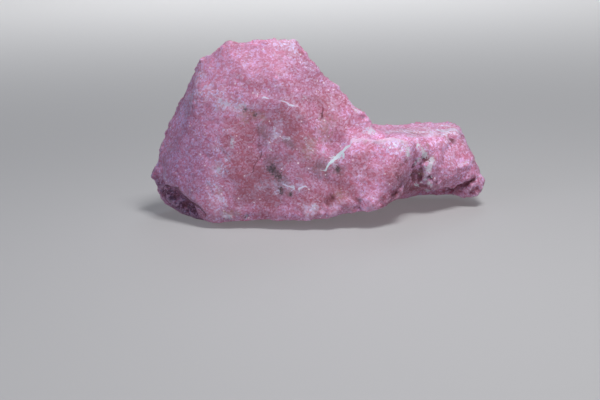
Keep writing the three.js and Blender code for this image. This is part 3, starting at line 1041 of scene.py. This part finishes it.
def rock_material():
    material = bpy.data.materials.new(SLOT)
    material.use_nodes = True
    shader = material.node_tree.nodes["Principled BSDF"]
    graph = RockGraph(material)
    # painted shade in gaps and folds, painted highlight on ridges and edges
    colour = painted_shade_and_highlight(graph, grain_colour(graph, ground_colour(graph)))
    # painted shade in the hollows
    colour = soft_marks(graph, colour, HOLLOW_PAINT)
    colour = hidden_marks(graph, colour)
    colour = soft_marks(graph, colour, SOFT_PAINT)
    colour = thin_marks(graph, colour)
    sparkle = sparkle_mark(graph)
    # painted glints on the sparkles
    graph.feed(shader.inputs["Base Color"], graph.paint(colour, sparkle, SPARKLE_SHARE, PAINTED_GLINT))

    roughness = graph.scaled(graph.noise(*POLISH), ROUGHNESS_MORE, ROUGHNESS)
    graph.feed(shader.inputs["Roughness"], graph.scaled(sparkle, SPARKLE_POLISH, roughness))
    shader.inputs["Specular IOR Level"].default_value = GLOSS
    shader.inputs["Subsurface Weight"].default_value = LIGHT_INSIDE
    shader.inputs["Subsurface Radius"].default_value = LIGHT_COLOUR
    shader.inputs["Subsurface Scale"].default_value = LIGHT_REACH * METRES

    bump = graph.node("ShaderNodeBump")
    bump.inputs["Strength"].default_value = 1.0
    bump.inputs["Distance"].default_value = METRES
    graph.feed(bump.inputs["Height"], grain_faces(graph))
    graph.feed(shader.inputs["Normal"], bump.outputs["Normal"])
    return material


def make_stone(node):
    piece = fine_copy(node)
    surface = Surface(piece.data)
    soften(surface)
    sharpen(surface)
    add_relief(surface, Placer(surface))
    write_marks(surface)
    piece.data.polygons.foreach_set("use_smooth", [True] * len(piece.data.polygons))
    piece.data.materials.clear()
    piece.data.materials.append(rock_material())
    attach(piece, BODY)
    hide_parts(NODE)


# Stage: half the floor's side, how far it lies below the base, its looks, and its glow, which rises
# between two distances from the stone so that the floor stays pale far away.
FLOOR_HALF = 6000.0
FLOOR_GAP = 0.02
FLOOR_COLOUR = linear(162, 162, 164)
FLOOR_ROUGHNESS = 0.7
FLOOR_GLOW = 0.12
FLOOR_GLOW_FAR = 0.30
FLOOR_FADE = (80.0, 420.0)
WHITE = (1.0, 1.0, 1.0, 1.0)
WORLD_COLOUR = linear(214, 216, 222)
WORLD_STRENGTH = 0.03
STONE_MIDDLE = (0.0, 0.0, 18.0)
# Lights: the place, the point it faces, the side of its panel, its power, its spread in degrees
# and its colour.
LIGHTS = {
    "key": ((58.0, -85.0, 265.0), STONE_MIDDLE, 90.0, 0.66, 180.0, (1.0, 0.985, 0.985)),
    "left_fill": ((-420.0, -300.0, 300.0), STONE_MIDDLE, 260.0, 0.53, 180.0, (0.78, 0.84, 1.0)),
    "front_fill": ((260.0, -420.0, 160.0), STONE_MIDDLE, 260.0, 0.15, 180.0, (1.0, 0.99, 0.99)),
    "left_rim": ((-420.0, 200.0, 220.0), STONE_MIDDLE, 260.0, 0.15, 180.0, (0.72, 0.82, 1.0)),
    "back_rim": ((60.0, 420.0, 420.0), STONE_MIDDLE, 260.0, 0.4, 180.0, (0.80, 0.87, 1.0)),
    "backdrop": ((0.0, 520.0, 800.0), (0.0, 560.0, 0.0), 400.0, 1.0, 50.0, (1.0, 1.0, 1.0)),
}


def floor_material():
    material = bpy.data.materials.new("floor")
    material.use_nodes = True
    shader = material.node_tree.nodes["Principled BSDF"]
    shader.inputs["Base Color"].default_value = FLOOR_COLOUR
    shader.inputs["Roughness"].default_value = FLOOR_ROUGHNESS
    shader.inputs["Emission Color"].default_value = WHITE
    graph = Graph(material)
    far = graph.smooth(graph.vector("LENGTH", graph.place, output="Value"), *FLOOR_FADE)
    glow = graph.scaled(far, FLOOR_GLOW_FAR - FLOOR_GLOW, FLOOR_GLOW)
    graph.feed(shader.inputs["Emission Strength"], glow)
    return material


def make_floor():
    floor_mesh = bpy.data.meshes.new("floor")
    half = FLOOR_HALF * METRES
    drop = -FLOOR_GAP * METRES
    corners = [(-half, -half, drop), (half, -half, drop), (half, half, drop), (-half, half, drop)]
    floor_mesh.from_pydata(corners, [], [(0, 1, 2, 3)])
    floor_mesh.materials.append(floor_material())
    floor = bpy.data.objects.new("floor", floor_mesh)
    bpy.context.scene.collection.objects.link(floor)


def make_lights():
    world = bpy.data.worlds.new("studio")
    world.use_nodes = True
    background = world.node_tree.nodes["Background"]
    background.inputs["Color"].default_value = WORLD_COLOUR
    background.inputs["Strength"].default_value = WORLD_STRENGTH
    bpy.context.scene.world = world
    for name, (place, faces, side, power, spread, colour) in LIGHTS.items():
        light = bpy.data.lights.new(name, "AREA")
        light.size = side * METRES
        light.energy = power
        light.spread = math.radians(spread)
        light.color = colour
        lamp = bpy.data.objects.new(name, light)
        lamp.location = Vector(place) * METRES
        lamp.rotation_euler = (Vector(faces) - Vector(place)).to_track_quat("-Z", "Y").to_euler()
        bpy.context.scene.collection.objects.link(lamp)


def make_camera():
    lens = bpy.data.cameras.new("camera")
    lens.lens = LENS
    lens.sensor_width = SENSOR_WIDTH
    lens.clip_start = CAMERA_NEAR * METRES
    camera = bpy.data.objects.new("camera", lens)
    camera.matrix_world = Matrix.Translation(Vector(CAMERA_PLACE) * METRES) @ camera_turn().to_4x4()
    bpy.context.scene.collection.objects.link(camera)
    bpy.context.scene.camera = camera


noise.seed_set(NOISE_SEED)
make_camera()
make_lights()
make_floor()
make_stone(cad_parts[NODE])
bpy.context.scene.view_settings.view_transform = "Standard"
